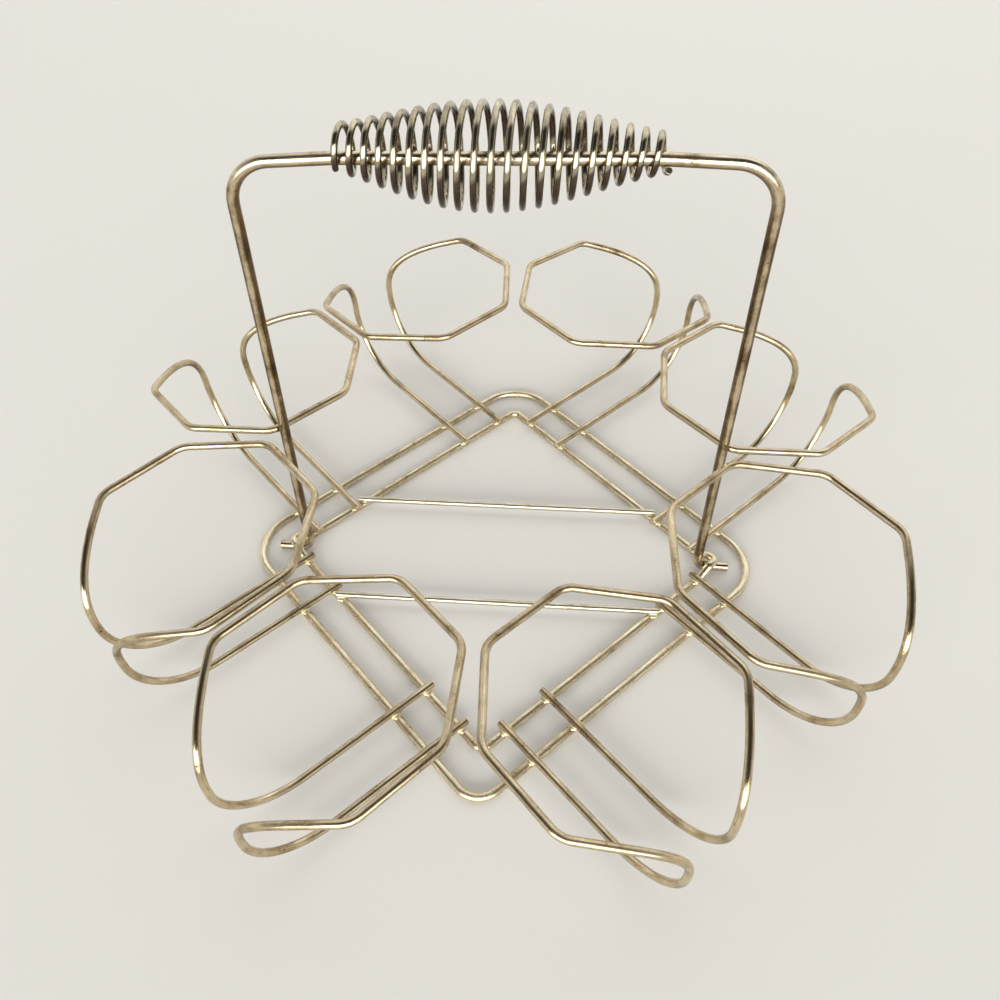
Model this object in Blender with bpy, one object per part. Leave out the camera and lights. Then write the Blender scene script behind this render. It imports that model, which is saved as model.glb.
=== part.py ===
"""Wire caddy for eight cocktail glasses, with a bail handle and a wound spring grip.

Two square frames of round wire lie flat as a diamond, and two thin cross rods stiffen the inner one.
Each side carries two hoops, and each hoop is one wire: two legs across both frames, a sweep up and
out, and five sides of an octagon that hold a glass. The bail stands between the hoops at the left
and right corners, with its feet turned out under the inner frame. A barrel-shaped coil wound from
one wire is the hand grip.

Units are metres, +Z is up, +X runs to the right along the bail's feet, +Y runs to the back. The
origin is on the table, under the middle of the frames.
"""

import math

import bpy
import numpy as np
from mathutils import Matrix, Vector

# Wire stock, all round steel
FRAME_WIRE = 0.0035
HOOP_WIRE = 0.0030
CROSS_WIRE = 0.0028
BAIL_WIRE = 0.0041
GRIP_WIRE = 0.0021

# A wire here has eight sides, so its flats lie a little inside the round wire's radius
WIRE_SIDES = 8
FLAT = math.cos(math.pi / WIRE_SIDES)

# Clearance between wires that touch or are welded on the real caddy
CONTACT_GAP = 0.0003
TABLE_GAP = 0.0002

# Frames. Their size follows from the hoops that stand on them
FRAME_SPACING = 0.0160
OUTER_CORNER_RADIUS = 0.021
FRONT_CORNER_RADIUS = 0.010
INNER_CORNER_RADIUS = 0.004

# The inner frame steps up over the bail's feet
FOOT_STEP_FLAT = 0.0040
FOOT_STEP_RUN = 0.0070
FOOT_STEP_RADIUS = 0.006

# Cross rods, laid on the inner frame along X. Each end lies beside a hoop's leg
ROD_TO_LEG = 0.0050
CROSS_ROD_OVERHANG = 0.002

# Hoops. A hoop's own frame has x along the side, y outwards and z up, and a reach is measured from
# the outer frame's wire. The gaps are between the two hoops of a side, and between the kinks of the
# two hoops that meet round a corner, where the bail stands
HOOP_GAP = 0.0022
CORNER_GAP = 0.00435
LEG_SPACING = 0.0220
LEG_OVERHANG = 0.0034
SWEEP_START = 0.0417
SWEEP_RADIUS = 0.0308
SWEEP_TOP = 0.0380
HOOP_WIDTH = 0.0836
HOOP_INNER_SIDE = 0.0356
HOOP_INNER_REACH = 0.0166
HOOP_MIDDLE_REACH = 0.0100
HOOP_OUTER_REACH = 0.0455
HOOP_INNER_HEIGHT = 0.0720
HOOP_MIDDLE_HEIGHT = 0.0700
HOOP_OUTER_HEIGHT = 0.0672
KINK_RADIUS = 0.0090
SHOULDER_PULL_UP = 0.0160
SHOULDER_PULL_OUT = 0.0300
SHOULDER_SLOPE = (0.68, -0.70, 0.22)

# Bail. Its feet bend inside the inner frame's corners and end outside them. The swing room is how
# far its legs can move back, at the hoops' height, before they meet the hoops. The bar is straight
# under the grip, and slopes down to each shoulder from a slight bend
BAIL_FOOT_INSET = 0.0080
BAIL_TIP_REACH = 0.0058
BAIL_SWING_ROOM = 0.00187
BAIL_HEIGHT = 0.1862
BAIL_FOOT_RADIUS = 0.0045
BAIL_SHOULDER_RADIUS = 0.0150
BAIL_SHOULDER_DROP = 0.0018
BAIL_SLOPE_LENGTH = 0.0350
BAIL_SLOPE_RADIUS = 0.080
BAIL_TOP_SHIFT = 0.0030
BAIL_TOP_RISE = 0.0027

# Grip: one left-hand coil from the bar out to a barrel and back. Its tilt is how far behind upright
# the barrel lies off the bar, in degrees. A skew under 1 puts its widest turn left of the middle
GRIP_TURNS = 21
GRIP_LENGTH = 0.0998
GRIP_SHIFT = 0.00345
GRIP_LEFT_DIAMETER = 0.0129
GRIP_RIGHT_DIAMETER = 0.0103
GRIP_MIDDLE_DIAMETER = 0.0298
GRIP_SWELL_POWER = 1.44
GRIP_SWELL_SKEW = 0.91
GRIP_PITCH_SWELL = 0.021
GRIP_TILT = 50.0
GRIP_MIDDLE_OFFSET = 0.0004
GRIP_POINTS_PER_TURN = 9

# How finely bends are stepped, in degrees
BEND_STEP = 22.5
CORNER_STEP = 15.0
SWEEP_STEP = 15.0

# Heights that follow from the wires lying on the table and on each other
FRAME_Z = FRAME_WIRE / 2 * FLAT
LEG_Z = FRAME_Z + FRAME_WIRE / 2 * FLAT + CONTACT_GAP + HOOP_WIRE / 2
CROSS_Z = FRAME_Z + FRAME_WIRE / 2 * FLAT + CONTACT_GAP + CROSS_WIRE / 2 * FLAT
FOOT_Z = TABLE_GAP + BAIL_WIRE / 2
FOOT_STEP = FOOT_Z + BAIL_WIRE / 2 + CONTACT_GAP + FRAME_WIRE / 2 - FRAME_Z

# Places that follow from the hoops standing side by side and round the corners. A half side is
# measured from the middle of the caddy to the middle of a frame's wire
DIAGONAL = math.sqrt(2)
HOOP_SPACING = HOOP_WIDTH + HOOP_WIRE + HOOP_GAP
HOOP_INNER_Y = (HOOP_SPACING + HOOP_INNER_SIDE) / 2 + (CORNER_GAP + HOOP_WIRE) / DIAGONAL
OUTER_HALF_SIDE = HOOP_INNER_Y + HOOP_INNER_REACH
INNER_HALF_SIDE = OUTER_HALF_SIDE - FRAME_SPACING
INNER_CORNER_X = INNER_HALF_SIDE * DIAGONAL
CROSS_ROD_Y = (INNER_HALF_SIDE - HOOP_SPACING / 2 + LEG_SPACING / 2 + ROD_TO_LEG) / DIAGONAL

# The bail's legs run from its feet through the place between the hoops to the bar
PIVOT_TO_HOOP = HOOP_INNER_HEIGHT - FOOT_Z
LEG_TO_HOOP = BAIL_WIRE / 2 + HOOP_WIRE / 2 + CONTACT_GAP
SHOULDER_HEIGHT = BAIL_HEIGHT - BAIL_SHOULDER_DROP
SHIFT_AT_HOOP = BAIL_TOP_SHIFT * PIVOT_TO_HOOP / SHOULDER_HEIGHT
BAIL_LEG_X = (HOOP_INNER_Y - LEG_TO_HOOP) * DIAGONAL - SHIFT_AT_HOOP - BAIL_SWING_ROOM
BAIL_FOOT_HALF = INNER_CORNER_X - BAIL_FOOT_INSET
BAIL_TIP_HALF = INNER_CORNER_X + BAIL_TIP_REACH
BAIL_TOP_HALF = BAIL_FOOT_HALF + (BAIL_LEG_X - BAIL_FOOT_HALF) * SHOULDER_HEIGHT / PIVOT_TO_HOOP
BAIL_LEAN = math.asin(BAIL_SWING_ROOM / PIVOT_TO_HOOP)

# Colours are linear values of a pale champagne gold plate and of the darker, browner bail
PLATE_COLOUR = (0.56, 0.47, 0.30, 1.0)
BAIL_COLOUR = (0.38, 0.27, 0.16, 1.0)

# The side that each pair of hoops stands on: angle of its outward direction, then the hoop at
# negative and at positive x of that side
SIDES = (
    (-135.0, "hoop_front_left", "hoop_left_front"),
    (135.0, "hoop_left_back", "hoop_back_left"),
    (45.0, "hoop_back_right", "hoop_right_back"),
    (-45.0, "hoop_right_front", "hoop_front_right"),
)


def clear_scene():
    """Remove whatever the file starts with."""
    for obj in list(bpy.data.objects):
        bpy.data.objects.remove(obj)


def plated_metal(name, colour, roughness):
    """A Principled metal for one piece."""
    material = bpy.data.materials.new(name)
    material.use_nodes = True
    shader = material.node_tree.nodes["Principled BSDF"]
    shader.inputs["Base Color"].default_value = colour
    shader.inputs["Metallic"].default_value = 1.0
    shader.inputs["Roughness"].default_value = roughness
    return material


def arc_corner(before, corner, after, radius, step):
    """Points that round one corner of a path with a circular arc."""
    to_before = (before - corner).normalized()
    to_after = (after - corner).normalized()
    turn = math.pi - to_before.angle(to_after)
    if radius <= 0 or turn < math.radians(1):
        return [corner]
    setback = radius * math.tan(turn / 2)
    middle = (to_before + to_after).normalized()
    centre = corner + middle * (radius / math.cos(turn / 2))
    start = corner + to_before * setback - centre
    axis = to_after.cross(to_before).normalized()
    count = max(2, round(math.degrees(turn) / step))
    return [centre + Matrix.Rotation(turn * i / count, 3, axis) @ start for i in range(count + 1)]


def rounded_path(corners, radii, cyclic=False, step=BEND_STEP):
    """A path through corners, each rounded by its own radius."""
    corners = [Vector(corner) for corner in corners]
    count = len(corners)
    path = []
    for i, corner in enumerate(corners):
        if not cyclic and i in (0, count - 1):
            path.append(corner)
            continue
        before = corners[i - 1]
        after = corners[(i + 1) % count]
        path.extend(arc_corner(before, corner, after, radii[i], step))
    return path


def mirrored(path):
    """The same path on the other side of x = 0, running back."""
    return [Vector((-p.x, p.y, p.z)) for p in reversed(path)]


def wire_curve(name, path, diameter, cyclic=False, bevel_resolution=2, flat_down=False):
    """A round wire along a path, as curve data with a bevel and filled ends."""
    curve = bpy.data.curves.new(name, "CURVE")
    curve.dimensions = "3D"
    curve.bevel_depth = diameter / 2
    curve.bevel_resolution = bevel_resolution
    curve.use_fill_caps = True
    curve.twist_mode = "Z_UP" if flat_down else "MINIMUM"
    spline = curve.splines.new("POLY")
    spline.points.add(len(path) - 1)
    spline.use_cyclic_u = cyclic
    spline.use_smooth = True
    for point, place in zip(spline.points, path):
        point.co = (*place, 1.0)
        point.tilt = math.pi / WIRE_SIDES if flat_down else 0.0
    return curve


def add_piece(collection, name, curve, material, parent=None):
    """One wire piece, as an object of its own."""
    obj = bpy.data.objects.new(name, curve)
    collection.objects.link(obj)
    if not curve.materials:
        curve.materials.append(material)
    obj.parent = parent
    return obj


def diamond(half_side, height):
    """The corners of a square frame set on its point: right, back, left, front."""
    reach = half_side * DIAGONAL
    return [(reach, 0, height), (0, reach, height), (-reach, 0, height), (0, -reach, height)]


def outer_frame_path():
    """The outer frame has wide round corners, tighter at the front."""
    radii = [OUTER_CORNER_RADIUS, OUTER_CORNER_RADIUS, OUTER_CORNER_RADIUS, FRONT_CORNER_RADIUS]
    return rounded_path(diamond(OUTER_HALF_SIDE, FRAME_Z), radii, cyclic=True, step=CORNER_STEP)


def inner_frame_path():
    """The inner frame steps up over the bail's feet at its left and right corners."""
    along = 1 / DIAGONAL
    high = FRAME_Z + FOOT_STEP
    near = FOOT_STEP_FLAT
    far = FOOT_STEP_FLAT + FOOT_STEP_RUN
    corners = []
    radii = []
    for side in (1, -1):
        steps = ((-far, FRAME_Z, FOOT_STEP_RADIUS), (-near, high, FOOT_STEP_RADIUS / 2))
        steps += ((0, high, INNER_CORNER_RADIUS / 2),)
        steps += ((near, high, FOOT_STEP_RADIUS / 2), (far, FRAME_Z, FOOT_STEP_RADIUS))
        for run, height, radius in steps:
            x = side * (INNER_CORNER_X - abs(run) * along)
            corners.append((x, side * run * along, height))
            radii.append(radius)
        corners.append((0, side * INNER_CORNER_X, FRAME_Z))
        radii.append(INNER_CORNER_RADIUS)
    return rounded_path(corners, radii, cyclic=True)


def cross_rod_path(y):
    """A straight rod that reaches a little past the inner frame's wire on each side."""
    half = INNER_CORNER_X - abs(y) + CROSS_ROD_OVERHANG
    return [Vector((-half, y, CROSS_Z)), Vector((half, y, CROSS_Z))]


def bezier(start, pull_start, pull_end, end, count):
    """Points along a cubic curve, without its first point."""
    points = []
    for i in range(1, count + 1):
        t = i / count
        s = 1 - t
        points.append(start * s**3 + pull_start * 3 * s * s * t + pull_end * 3 * s * t * t + end * t**3)
    return points


def hoop_path():
    """One hoop's wire from leg to leg, with y measured from the middle of the caddy."""
    leg_x = LEG_SPACING / 2
    leg_start = INNER_HALF_SIDE - LEG_OVERHANG
    sweep_y = OUTER_HALF_SIDE + SWEEP_START
    arm = [Vector((leg_x, leg_start, LEG_Z))]
    steps = round(90 / SWEEP_STEP)
    for i in range(steps + 1):
        angle = math.radians(90 * i / steps)
        y = sweep_y + SWEEP_RADIUS * math.sin(angle)
        arm.append(Vector((leg_x, y, LEG_Z + SWEEP_RADIUS * (1 - math.cos(angle)))))
    top = Vector((leg_x, sweep_y + SWEEP_RADIUS, SWEEP_TOP))
    arm.append(top)
    outer = Vector((HOOP_WIDTH / 2, OUTER_HALF_SIDE + HOOP_OUTER_REACH, HOOP_OUTER_HEIGHT))
    pull_start = top + Vector((0, 0, SHOULDER_PULL_UP))
    pull_end = outer - Vector(SHOULDER_SLOPE).normalized() * SHOULDER_PULL_OUT
    shoulder = bezier(top, pull_start, pull_end, outer, 7)
    arm.extend(shoulder[:-1])
    middle = (HOOP_WIDTH / 2, OUTER_HALF_SIDE + HOOP_MIDDLE_REACH, HOOP_MIDDLE_HEIGHT)
    inner = (HOOP_INNER_SIDE / 2, HOOP_INNER_Y, HOOP_INNER_HEIGHT)
    across = (-HOOP_INNER_SIDE / 2, HOOP_INNER_Y, HOOP_INNER_HEIGHT)
    corners = [arm[-1], outer, middle, inner, across]
    kinks = rounded_path(corners, [0] + [KINK_RADIUS] * 3 + [0])[1:-1]
    half = arm + kinks
    return half + mirrored(half)


def bar_height(x):
    """Height of the bail's bar at x. It rises a little from left to right."""
    return BAIL_HEIGHT + BAIL_TOP_RISE * (x - BAIL_TOP_SHIFT) / (2 * BAIL_TOP_HALF)


def bail_path():
    """The bail's wire from tip to tip, standing upright on its pivot line at z = 0."""
    left = BAIL_TOP_SHIFT - BAIL_TOP_HALF
    right = BAIL_TOP_SHIFT + BAIL_TOP_HALF
    bends = ((left, BAIL_SHOULDER_DROP), (left + BAIL_SLOPE_LENGTH, 0))
    bends += ((right - BAIL_SLOPE_LENGTH, 0), (right, BAIL_SHOULDER_DROP))
    corners = [(-BAIL_TIP_HALF, 0, 0), (-BAIL_FOOT_HALF, 0, 0)]
    corners += [(x, 0, bar_height(x) - drop) for x, drop in bends]
    corners += [(BAIL_FOOT_HALF, 0, 0), (BAIL_TIP_HALF, 0, 0)]
    half = [0, BAIL_FOOT_RADIUS, BAIL_SHOULDER_RADIUS, BAIL_SLOPE_RADIUS]
    return rounded_path(corners, half + half[::-1], step=CORNER_STEP)


def grip_path():
    """The coil's centre line. It swells up and behind the bar, and its ends press on the bar."""
    count = GRIP_TURNS * GRIP_POINTS_PER_TURN
    tilt = math.radians(GRIP_TILT)
    points = []
    for i in range(count + 1):
        s = i / count
        swell = abs(math.sin(math.pi * s ** GRIP_SWELL_SKEW)) ** GRIP_SWELL_POWER
        end_radius = (GRIP_LEFT_DIAMETER * (1 - s) + GRIP_RIGHT_DIAMETER * s) / 2
        end_offset = end_radius - GRIP_WIRE / 2 - BAIL_WIRE / 2 - CONTACT_GAP
        radius = end_radius + (GRIP_MIDDLE_DIAMETER / 2 - end_radius) * swell
        offset = end_offset + (GRIP_MIDDLE_OFFSET - end_offset) * swell
        along = s - GRIP_PITCH_SWELL * math.sin(2 * math.pi * s) / (2 * math.pi)
        x = GRIP_SHIFT + (along - 0.5) * GRIP_LENGTH
        angle = tilt + 2 * math.pi * GRIP_TURNS * s
        y = offset * math.sin(tilt) - radius * math.sin(angle)
        z = offset * math.cos(tilt) - radius * math.cos(angle)
        points.append(Vector((x, y, bar_height(x) + z)))
    return points


def least_gap_to_itself(path, diameter, apart):
    """The least clear distance between turns of a wound wire, measured on its points."""
    points = np.array([tuple(p) for p in path])
    least = math.inf
    for i in range(len(points) - apart):
        distance = np.linalg.norm(points[i + apart:] - points[i], axis=1).min()
        least = min(least, distance)
    return least - diameter


def build():
    clear_scene()
    collection = bpy.data.collections.new("cocktail_glass_caddy")
    bpy.context.scene.collection.children.link(collection)

    outer = wire_curve("outer_frame", outer_frame_path(), FRAME_WIRE, cyclic=True, flat_down=True)
    add_piece(collection, "outer_frame", outer, plated_metal("outer_frame_plate", PLATE_COLOUR, 0.35))
    inner = wire_curve("inner_frame", inner_frame_path(), FRAME_WIRE, cyclic=True, flat_down=True)
    add_piece(collection, "inner_frame", inner, plated_metal("inner_frame_plate", PLATE_COLOUR, 0.35))

    for name, y in (("cross_rod_front", -CROSS_ROD_Y), ("cross_rod_back", CROSS_ROD_Y)):
        rod = wire_curve(name, cross_rod_path(y), CROSS_WIRE, flat_down=True)
        add_piece(collection, name, rod, plated_metal(name + "_plate", PLATE_COLOUR, 0.28))

    for angle, negative, positive in SIDES:
        for name, x in ((negative, -HOOP_SPACING / 2), (positive, HOOP_SPACING / 2)):
            hoop = wire_curve(name, hoop_path(), HOOP_WIRE, flat_down=False)
            obj = add_piece(collection, name, hoop, plated_metal(name + "_plate", PLATE_COLOUR, 0.3))
            turn = Matrix.Rotation(math.radians(angle - 90), 4, "Z")
            obj.rotation_euler = turn.to_euler()
            obj.location = turn @ Vector((x, 0, 0))

    pivot = bpy.data.objects.new("bail_pivot", None)
    collection.objects.link(pivot)
    pivot.location = (0, 0, FOOT_Z)
    pivot.rotation_euler = (-BAIL_LEAN, 0, 0)
    bail = wire_curve("bail", bail_path(), BAIL_WIRE)
    add_piece(collection, "bail", bail, plated_metal("bail_plate", BAIL_COLOUR, 0.35), pivot)

    coil = grip_path()
    grip = wire_curve("spring_grip", coil, GRIP_WIRE, bevel_resolution=1)
    add_piece(collection, "spring_grip", grip, plated_metal("grip_plate", BAIL_COLOUR, 0.3), pivot)
    gap = least_gap_to_itself(coil, GRIP_WIRE, GRIP_POINTS_PER_TURN // 2)
    print(f"spring grip: {GRIP_TURNS} turns, least gap to itself {gap * 1000:.2f} mm")
    print(f"bail: leans {math.degrees(BAIL_LEAN):.2f} degrees back, pivot at z {FOOT_Z * 1000:.2f} mm")


build()
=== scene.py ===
# %% [markdown]
# # Cocktail glass caddy
#
# A wire caddy for eight glasses, plated in a pale champagne gold that years of use have dulled and
# speckled. The whole thing is bent from round steel wire: two square frames, two thin rods, eight
# hoops, a bail handle and a coil wound round the handle's bar.
#
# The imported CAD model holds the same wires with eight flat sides, or six on the coil. It is loaded
# first, as the frame that says where everything goes. Each wire is then drawn again, rounder and
# with its details, and stands for its CAD node. Lengths are in metres, and MM turns them to
# millimetres.

import math

import bpy
from mathutils import Matrix, Quaternion, Vector


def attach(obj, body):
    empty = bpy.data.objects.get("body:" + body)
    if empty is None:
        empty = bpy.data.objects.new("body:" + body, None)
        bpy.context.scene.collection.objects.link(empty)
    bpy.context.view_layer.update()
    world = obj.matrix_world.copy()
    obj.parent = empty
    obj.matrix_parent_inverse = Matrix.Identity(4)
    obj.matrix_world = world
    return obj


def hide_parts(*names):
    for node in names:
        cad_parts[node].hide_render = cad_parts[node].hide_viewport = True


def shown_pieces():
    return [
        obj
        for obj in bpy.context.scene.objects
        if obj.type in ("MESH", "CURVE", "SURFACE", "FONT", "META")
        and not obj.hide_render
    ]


MM = 1000.0

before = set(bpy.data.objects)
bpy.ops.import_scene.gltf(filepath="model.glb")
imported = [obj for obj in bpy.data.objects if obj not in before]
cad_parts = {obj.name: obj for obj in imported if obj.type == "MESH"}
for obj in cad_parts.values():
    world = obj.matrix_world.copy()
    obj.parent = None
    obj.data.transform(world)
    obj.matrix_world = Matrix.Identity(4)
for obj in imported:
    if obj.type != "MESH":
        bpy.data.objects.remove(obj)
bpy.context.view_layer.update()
print("CAD nodes:", ", ".join(sorted(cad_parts)))

# %% [markdown]
# ## Wire stock
#
# A caddy like this is made from a few reels of wire, so the diameters come first. The frames are
# stout, the bail is stouter still, and the grip's coil is thin enough to spring. The heights follow
# from laying one wire on another. Welding presses the upper wire a little into the lower one, while
# the bail's feet have to turn, so they keep a hair of room above and below.

# %% Wire diameters and heights
FRAME_WIRE = 0.0035
HOOP_WIRE = 0.0030
CROSS_WIRE = 0.0028
BAIL_WIRE = 0.0041
GRIP_WIRE = 0.0021

WELD_SINK = 0.00025
FOOT_TO_TABLE = 0.0002
FOOT_TO_FRAME = 0.0001

FRAME_Z = FRAME_WIRE / 2
LEG_Z = FRAME_WIRE + HOOP_WIRE / 2 - WELD_SINK
CROSS_Z = FRAME_WIRE + CROSS_WIRE / 2 - WELD_SINK
FOOT_Z = FOOT_TO_TABLE + BAIL_WIRE / 2
FOOT_STEP_Z = FOOT_Z + (BAIL_WIRE + FRAME_WIRE) / 2 + FOOT_TO_FRAME

print(f"leg wires lie at {MM * LEG_Z:.2f} mm, the bail's feet at {MM * FOOT_Z:.2f} mm")

# %% [markdown]
# ## Where the frames and hoops stand
#
# The hoops stand in pairs on the four sides of a square, and the square's size follows from them:
# the two hoops of a side stand a couple of millimetres apart, and at each corner two hoops leave
# just room for a leg of the bail. A half side is measured from the caddy's middle to the middle of
# a frame's wire.

# %% Places of the frames and hoops
DIAGONAL = math.sqrt(2)

HOOP_WIDTH = 0.0836
HOOP_INNER_SIDE = 0.0356
HOOP_GAP = 0.0022
CORNER_GAP = 0.00435
HOOP_SPACING = HOOP_WIDTH + HOOP_WIRE + HOOP_GAP
HOOP_INNER_Y = (HOOP_SPACING + HOOP_INNER_SIDE) / 2 + (CORNER_GAP + HOOP_WIRE) / DIAGONAL
LEG_SPACING = 0.0220

HOOP_TO_FRAME = 0.0166
FRAME_SPACING = 0.0160
LEG_TO_ROD = 0.0050
OUTER_HALF_SIDE = HOOP_INNER_Y + HOOP_TO_FRAME
INNER_HALF_SIDE = OUTER_HALF_SIDE - FRAME_SPACING
INNER_CORNER_X = INNER_HALF_SIDE * DIAGONAL
CROSS_ROD_Y = (INNER_HALF_SIDE - HOOP_SPACING / 2 + LEG_SPACING / 2 + LEG_TO_ROD) / DIAGONAL

SIDES = (
    (-135, "hoop_front_left", "hoop_left_front"),
    (135, "hoop_left_back", "hoop_back_left"),
    (45, "hoop_back_right", "hoop_right_back"),
    (-45, "hoop_right_front", "hoop_front_right"),
)

print(f"half sides: outer {MM * OUTER_HALF_SIDE:.1f} mm, inner {MM * INNER_HALF_SIDE:.1f} mm")

# %% [markdown]
# ## Bending a path
#
# A wire bender makes straight runs and round bends, and nothing else. A path is laid out the same
# way: a list of corners, each with the radius of the pin that the wire is bent round. This helper
# swaps a corner for points on that arc, close enough together that the bend looks round.

# %% Corners to bends
BEND_STEP = math.radians(6)
LEAST_TURN = math.radians(1)


def bend(before, corner, after, radius):
    """Points on the arc that rounds one corner."""
    to_before = (before - corner).normalized()
    to_after = (after - corner).normalized()
    turn = math.pi - to_before.angle(to_after)
    if radius <= 0 or turn < LEAST_TURN:
        return [corner]
    middle = (to_before + to_after).normalized()
    centre = corner + middle * (radius / math.cos(turn / 2))
    start = corner + to_before * (radius * math.tan(turn / 2)) - centre
    axis = to_after.cross(to_before).normalized()
    count = max(2, round(turn / BEND_STEP))
    return [centre + Matrix.Rotation(turn * i / count, 3, axis) @ start for i in range(count + 1)]


def bent_path(corners, radii, cyclic=False):
    """A path through corners, each rounded by its own radius."""
    corners = [Vector(corner) for corner in corners]
    last = len(corners) - 1
    path = []
    for i, corner in enumerate(corners):
        if not cyclic and i in (0, last):
            path.append(corner)
            continue
        path.extend(bend(corners[i - 1], corner, corners[(i + 1) % len(corners)], radii[i]))
    return path


right_angle = bend(Vector((1, 0, 0)), Vector(), Vector((0, 1, 0)), 0.1)
print("a right-angled bend has", len(right_angle), "points")

# %% [markdown]
# ## Selecting
#
# An operator acts on all that is selected, and the CAD nodes are selected once they are loaded. So
# nothing is left selected before a piece is added, and only the right pieces are before one is
# changed.

# %% Select what is meant
def deselect_all():
    """Leave edit mode and leave nothing selected."""
    if bpy.context.object and bpy.context.object.mode != "OBJECT":
        bpy.ops.object.mode_set(mode="OBJECT")
    bpy.ops.object.select_all(action="DESELECT")


def select_only(pieces):
    """Select these pieces, the last one active."""
    deselect_all()
    for piece in pieces:
        piece.select_set(True)
    bpy.context.view_layer.objects.active = pieces[-1]


deselect_all()
print("pieces left selected:", len(bpy.context.selected_objects))

# %% [markdown]
# ## Drawing a wire
#
# A curve with a round bevel is a wire. It is drawn point by point in edit mode, as one would click
# it in, then made a mesh. Its caps are merged with it, and all but the rims of its ends is smoothed.
# Blender lays the UV map out by point, which squeezes it in the bends, so it is measured again along
# the wire: U is the distance from the start and V the way round, both in millimetres. The drawing
# marks of the wire can then be given in millimetres too.

# %% Measure the UV map, close and smooth
MERGE_DISTANCE = 1e-6
SMOOTH_ANGLE = math.radians(40)


def measure_uv(piece, path, diameter, cyclic):
    """Turn U from a share of the points into millimetres along the wire, and V into those round it."""
    stops = path + path[:1] if cyclic else path
    along = [0.0]
    for i in range(1, len(stops)):
        along.append(along[-1] + (stops[i] - stops[i - 1]).length)
    print(f"{piece.name}: {MM * along[-1]:.0f} mm of wire")
    around = math.pi * diameter
    for corner in piece.data.uv_layers[0].data:
        place = min(max(corner.uv.x, 0.0), 1.0) * (len(stops) - 1)
        i = min(int(place), len(stops) - 2)
        length = along[i] + (place - i) * (along[i + 1] - along[i])
        corner.uv = (MM * length, MM * around * corner.uv.y)


def close_and_smooth():
    """Merge the active wire's caps with it and smooth everything but the rims."""
    bpy.ops.object.mode_set(mode="EDIT")
    bpy.ops.mesh.select_all(action="SELECT")
    bpy.ops.mesh.remove_doubles(threshold=MERGE_DISTANCE)
    bpy.ops.mesh.normals_make_consistent(inside=False)
    bpy.ops.object.mode_set(mode="OBJECT")
    bpy.ops.object.shade_smooth_by_angle(angle=SMOOTH_ANGLE)


# %% Draw and convert
def draw_wire(name, path, diameter, cyclic=False, sides=20):
    """A round wire along a path, as a mesh with its UV map in millimetres."""
    deselect_all()
    bpy.ops.curve.primitive_nurbs_path_add(location=(0, 0, 0))
    piece = bpy.context.object
    piece.name = name
    bpy.ops.object.mode_set(mode="EDIT")
    bpy.ops.curve.select_all(action="SELECT")
    bpy.ops.curve.delete(type="VERT")
    for place in path:
        bpy.ops.curve.vertex_add(location=place)
    bpy.ops.curve.select_all(action="SELECT")
    bpy.ops.curve.spline_type_set(type="POLY")
    if cyclic:
        bpy.ops.curve.cyclic_toggle(direction="CYCLIC_U")
    bpy.ops.object.mode_set(mode="OBJECT")
    piece.data.bevel_depth = diameter / 2
    piece.data.bevel_resolution = sides // 2 - 2
    piece.data.use_fill_caps = True
    bpy.ops.object.convert(target="MESH")
    measure_uv(piece, path, diameter, cyclic)
    close_and_smooth()
    return piece


def finish_piece(piece, body, nodes):
    """Give a finished piece its body and hide the CAD nodes that it stands for."""
    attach(piece, body)
    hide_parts(*nodes)
    print(f"{piece.name}: {len(piece.data.polygons)} faces, rides {body}")


# %% [markdown]
# ## Outer frame
#
# The outer frame is a square of wire set on its point. The photograph shows its corners bent round
# wide pins, all but the front one, which is tighter. Its two ends are butt welded into one ring, so
# the curve is cyclic.

# %% Outer frame
WIDE_CORNER = 0.021
FRONT_CORNER = 0.010


def diamond(half_side, height):
    """The corners of a square set on its point: right, back, left, front."""
    reach = half_side * DIAGONAL
    return [(reach, 0, height), (0, reach, height), (-reach, 0, height), (0, -reach, height)]


outer_radii = [WIDE_CORNER] * 3 + [FRONT_CORNER]
outer_path = bent_path(diamond(OUTER_HALF_SIDE, FRAME_Z), outer_radii, cyclic=True)
outer_frame = draw_wire("outer_frame_wire", outer_path, FRAME_WIRE, cyclic=True, sides=24)
finish_piece(outer_frame, "base", ["outer_frame"])

# %% [markdown]
# ## Inner frame
#
# The inner frame lies flat too, with sharp corners, but at the left and right it steps up over the
# feet of the bail. The step is a bend up, a short flat and a bend down on each side of the corner.
# The right half of the ring is laid out as a list of runs from its corner, and the left half is the
# same list turned round.

# %% Inner frame
STEP_FLAT = 0.0040
STEP_RUN = 0.0070
STEP_START_BEND = 0.006
STEP_TOP_BEND = 0.003
RAISED_CORNER = 0.002
FLAT_CORNER = 0.004

inner_corners = []
inner_radii = []
for side in (1, -1):
    for run, height, radius in (
        (-STEP_FLAT - STEP_RUN, FRAME_Z, STEP_START_BEND),
        (-STEP_FLAT, FOOT_STEP_Z, STEP_TOP_BEND),
        (0, FOOT_STEP_Z, RAISED_CORNER),
        (STEP_FLAT, FOOT_STEP_Z, STEP_TOP_BEND),
        (STEP_FLAT + STEP_RUN, FRAME_Z, STEP_START_BEND),
    ):
        x = side * (INNER_CORNER_X - abs(run) / DIAGONAL)
        inner_corners.append((x, side * run / DIAGONAL, height))
        inner_radii.append(radius)
    inner_corners.append((0, side * INNER_CORNER_X, FRAME_Z))
    inner_radii.append(FLAT_CORNER)

inner_path = bent_path(inner_corners, inner_radii, cyclic=True)
inner_frame = draw_wire("inner_frame_wire", inner_path, FRAME_WIRE, cyclic=True, sides=24)
finish_piece(inner_frame, "base", ["inner_frame"])

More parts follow.
